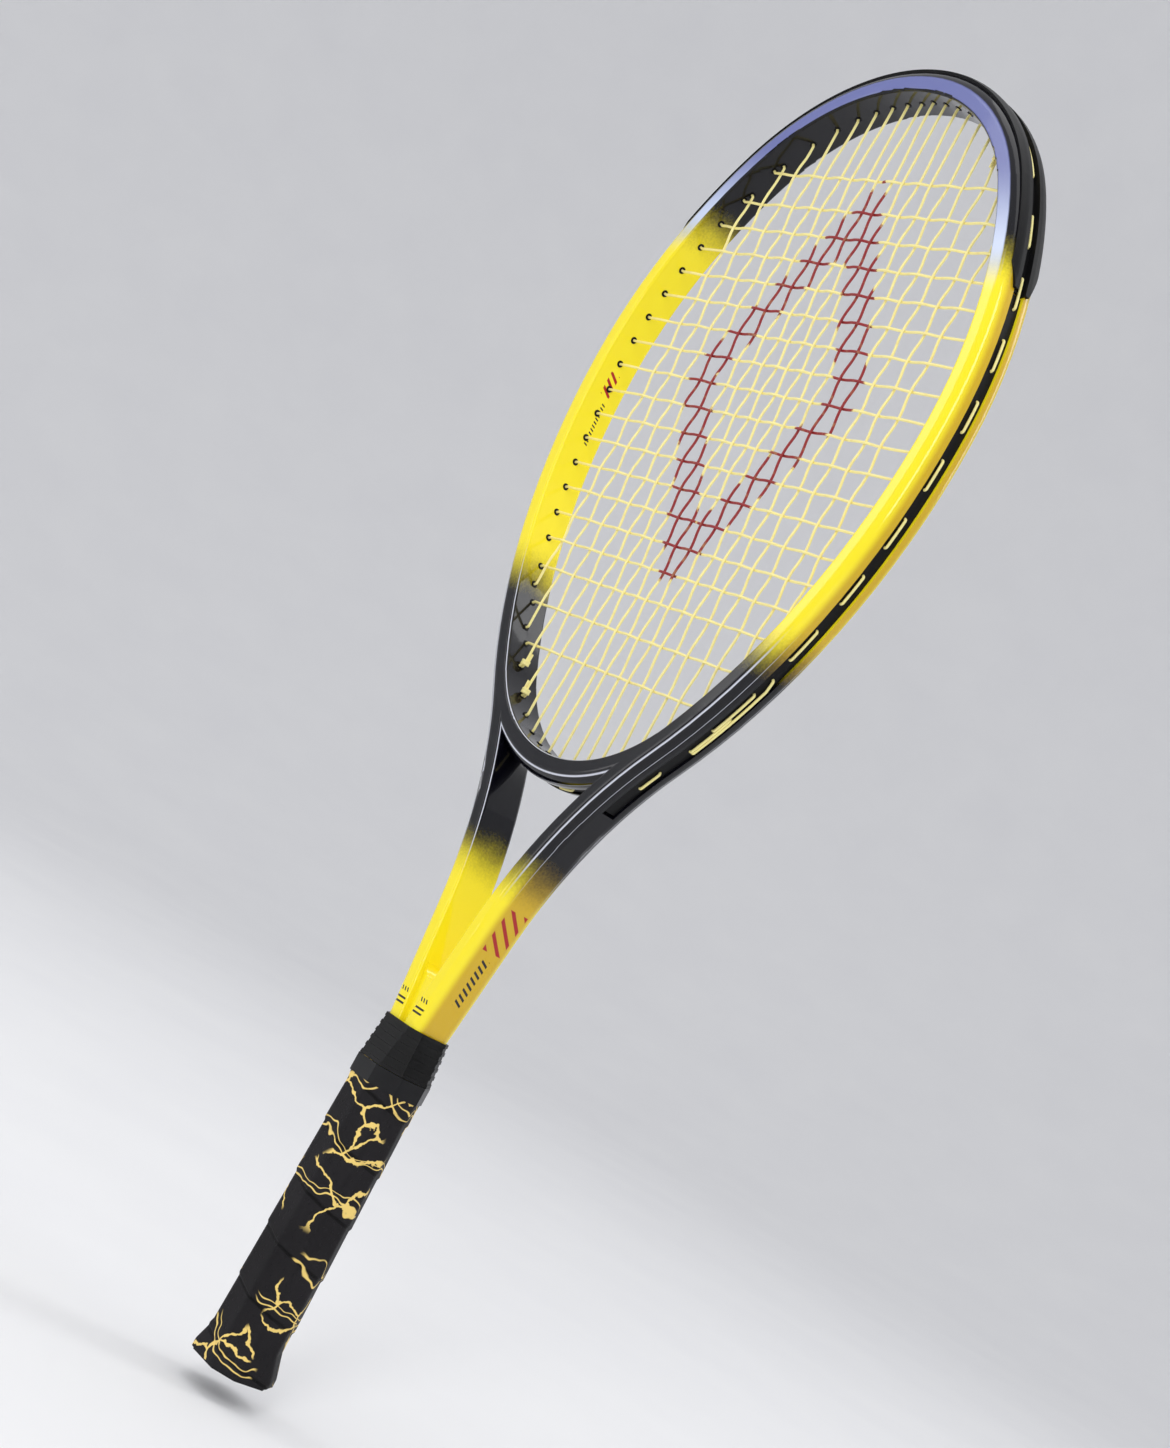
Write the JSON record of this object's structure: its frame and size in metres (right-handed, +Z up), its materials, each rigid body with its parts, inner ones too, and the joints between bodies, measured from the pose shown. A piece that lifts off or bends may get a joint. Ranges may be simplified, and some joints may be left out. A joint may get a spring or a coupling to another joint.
{
  "type": "tennis racket",
  "caption": "Strung tennis racket: hollow oval hoop with open throat, woven string bed, and an octagonal wrapped handle with a trap door in its butt.",
  "frame": {"origin": "centre of the butt end of the handle", "axes": "+Z up the racket from butt to tip, X across the head, Y through the string bed with the front face towards -Y"},
  "size_m": [0.27, 0.0378, 0.6858],
  "materials": {
    "frame_paint": "high-gloss lacquer over fibre, bright yellow fading softly into black over the upper hoop, lower hoop and throat",
    "bridge_paint": "high-gloss black lacquer",
    "guard_plastic": "satin black nylon",
    "string_filament": "smooth pale cream monofilament",
    "handle_foam": "moulded dark polyurethane foam with a closed skin",
    "plug_foam": "grey closed-cell foam",
    "cap_plastic": "fine-grained black plastic",
    "staple_steel": "plain drawn steel wire",
    "grip_skin": "soft perforated cushioned black wrap with yellow line pattern",
    "tape_film": "smooth black adhesive tape",
    "collar_rubber": "moulded ribbed black rubber"
  },
  "bodies": {
    "racket": {"hairpin_tube": "frame_paint", "throat_bridge": "bridge_paint", "throat_wedge": "bridge_paint", "bumper_guard": "guard_plastic", "grommet_strip_left": "guard_plastic", "grommet_strip_right": "guard_plastic", "bridge_grommet_strip": "guard_plastic", "main_string": "string_filament", "cross_string": "string_filament", "handle_pallet_front": "handle_foam", "handle_pallet_back": "handle_foam", "shaft_end_plugs": "plug_foam", "butt_cap": "cap_plastic", "butt_cap_staples": "staple_steel", "grip_wrap": "grip_skin", "grip_finishing_tape": "tape_film", "grip_collar": "collar_rubber"},
    "door": {"butt_cap_door": "cap_plastic"}
  },
  "joints": [
    {"name": "door_slide", "type": "slide", "parent": "racket", "child": "door", "axis": [0, 0, -1], "range_m": [0, 0.012]}
  ]
}
